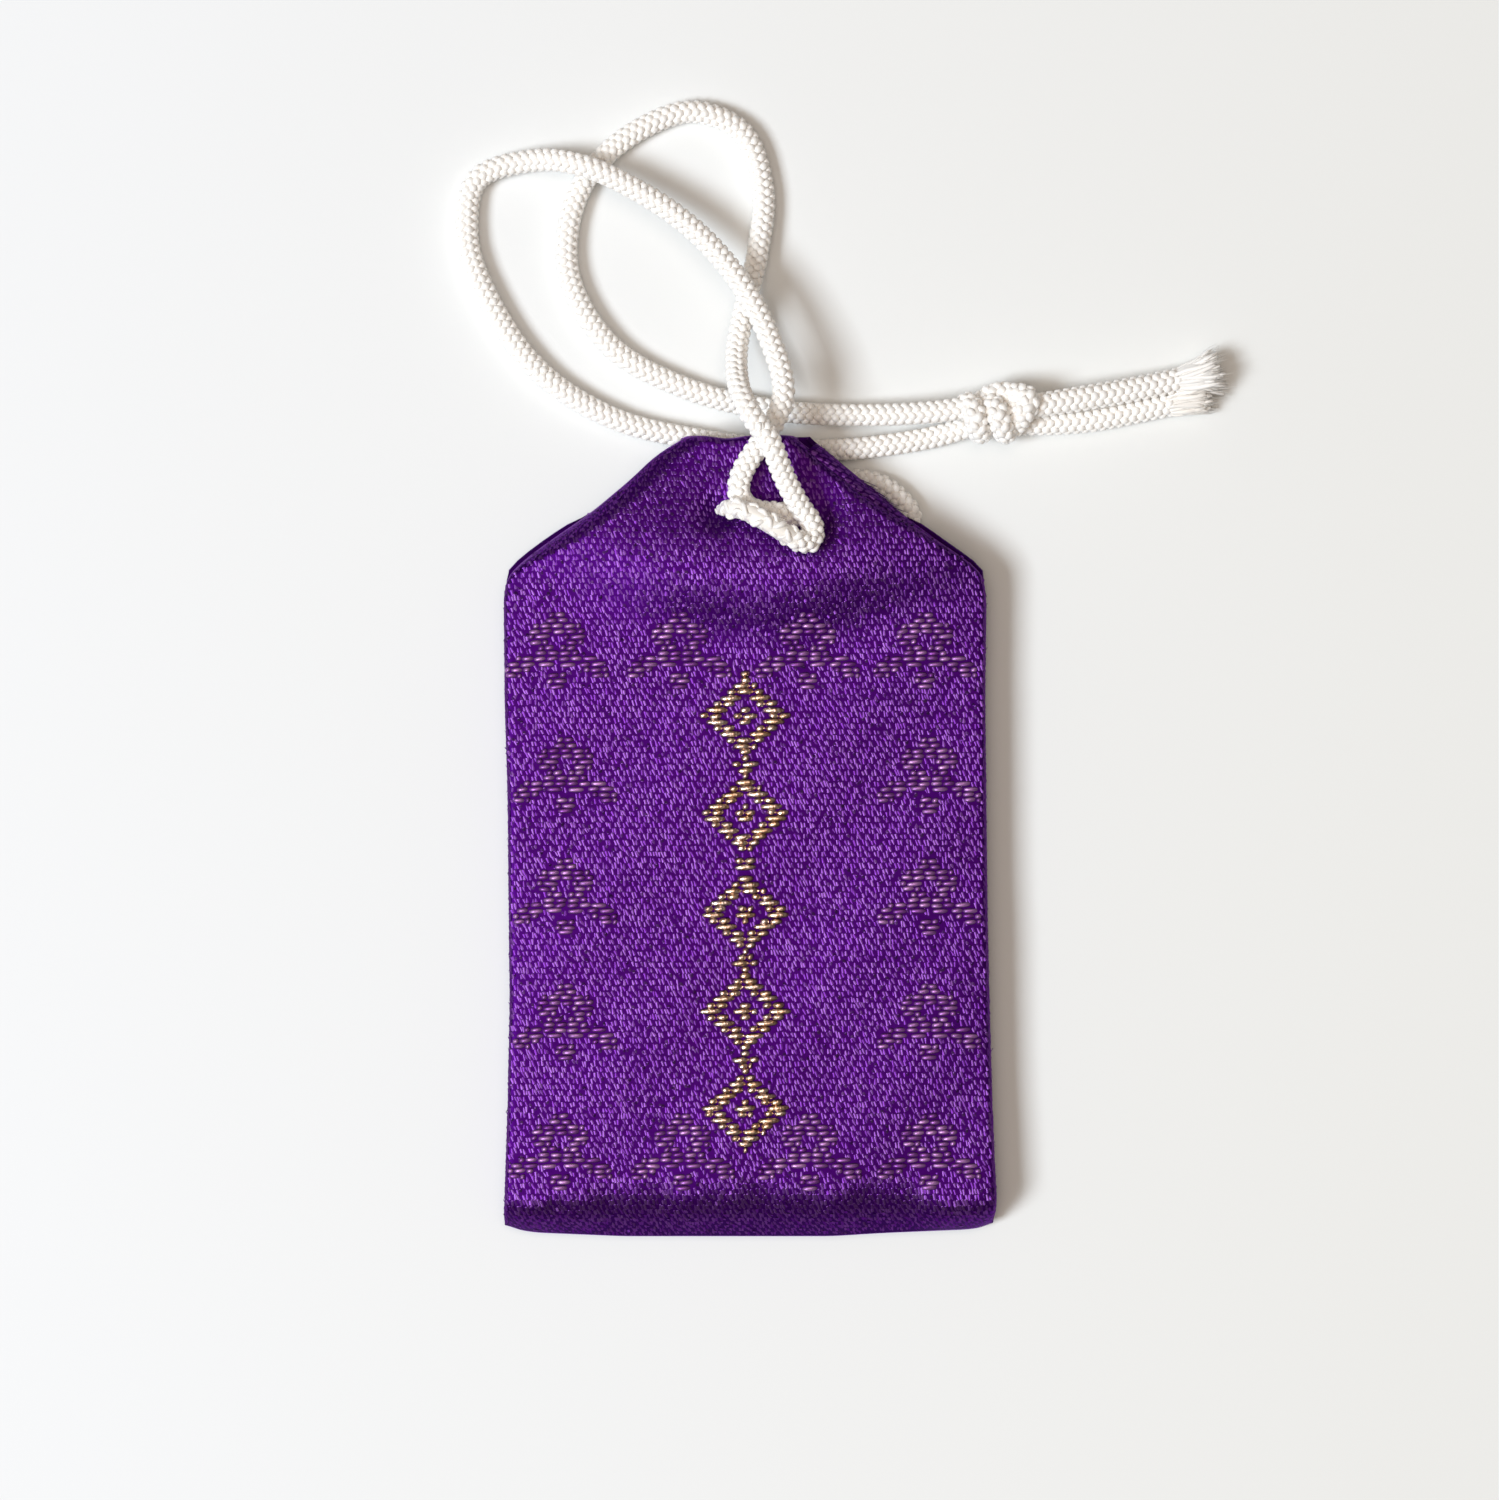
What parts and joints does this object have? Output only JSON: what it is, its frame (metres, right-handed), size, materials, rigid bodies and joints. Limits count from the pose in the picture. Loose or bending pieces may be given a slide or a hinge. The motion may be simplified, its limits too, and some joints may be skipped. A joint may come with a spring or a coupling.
{
  "type": "drawstring charm pouch",
  "caption": "Flat brocade charm pouch with tucked shoulders, closed by a white braided cord that is half-knotted on the front and runs out into hanging loops with a stopper knot.",
  "frame": {"origin": "centre of the pouch's outline, on its back face, which is the surface that it lies on", "axes": "+X to the pouch's right seen from its front, +Y towards its mouth, +Z out of its front"},
  "size_m": [0.0742, 0.1081, 0.0115],
  "materials": {
    "brocade": "satin brocade",
    "cord": "braided rayon",
    "lining": "plain cotton",
    "card": "matt",
    "paper": "matt",
    "wood": "planed"
  },
  "bodies": {
    "pouch": {"front_panel": "brocade", "back_panel": "brocade", "left_shoulder_tuck": "brocade", "right_shoulder_tuck": "brocade", "lining": "lining", "card_stiffener": "card", "cord_left_leg": "cord", "cord_right_leg": "cord", "cord_back_bight": "cord", "cord_left_bend": "cord", "cord_right_bend": "cord"},
    "packet": {"paper_wrapper": "paper", "wooden_slip": "wood"},
    "cord_loop": {"loop_outer": "cord", "loop_inner": "cord", "stopper_knot": "cord", "tail_upper": "cord", "tail_lower": "cord", "tuft_upper": "cord", "tuft_lower": "cord"}
  },
  "joints": [
    {"name": "loop_swing", "type": "hinge", "parent": "pouch", "child": "cord_loop", "pos_m": [0, 0.0385, 0.008], "axis": [1, 0, 0], "range_deg": [0, 150], "deforming": ["cord_left_bend", "cord_right_bend"]},
    {"name": "packet_slide", "type": "slide", "parent": "pouch", "child": "packet", "axis": [0, 1, 0], "range_m": [0, 0.003]}
  ]
}
